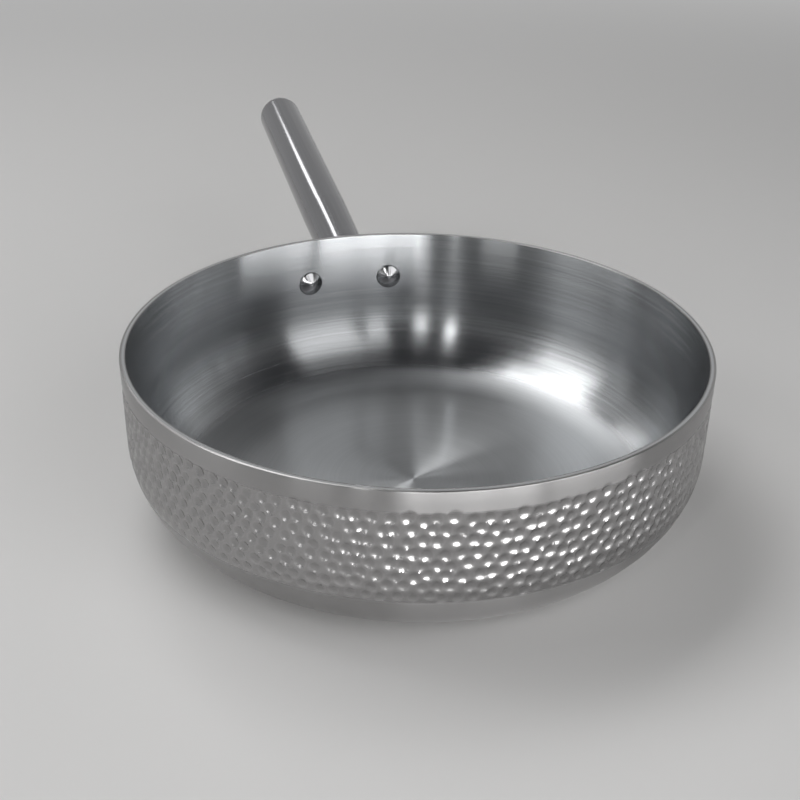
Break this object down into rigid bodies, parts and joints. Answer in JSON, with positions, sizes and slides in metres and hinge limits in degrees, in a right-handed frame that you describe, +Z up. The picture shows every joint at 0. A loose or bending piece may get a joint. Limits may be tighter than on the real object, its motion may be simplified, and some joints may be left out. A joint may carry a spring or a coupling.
{
  "type": "hammered saute pan",
  "caption": "Low wide round steel pan with straight hammered sides, a smooth rim band and a straight tubular handle on a riveted bracket.",
  "frame": {"origin": "centre of the flat base, on the surface that the pan stands on", "axes": "+Z up through the open mouth, +Y from the pan's centre towards the end of the handle, +X to the right of the handle seen from the pan's centre"},
  "size_m": [0.24, 0.4202, 0.0985],
  "materials": {
    "polished_steel": "polished, with a hand-hammered belt",
    "aluminium": "plain, seen only as a line in the rim",
    "brushed_steel": "brushed round the wall, turned on the floor",
    "handle_steel": "polished",
    "rivet_steel": "turned and polished"
  },
  "bodies": {
    "root": {"outer_shell": "polished_steel", "aluminium_core": "aluminium", "inner_liner": "brushed_steel", "handle_bracket": "handle_steel", "handle_tube": "handle_steel", "handle_end_cap": "handle_steel", "rivet_left": "rivet_steel", "rivet_right": "rivet_steel"}
  },
  "joints": []
}
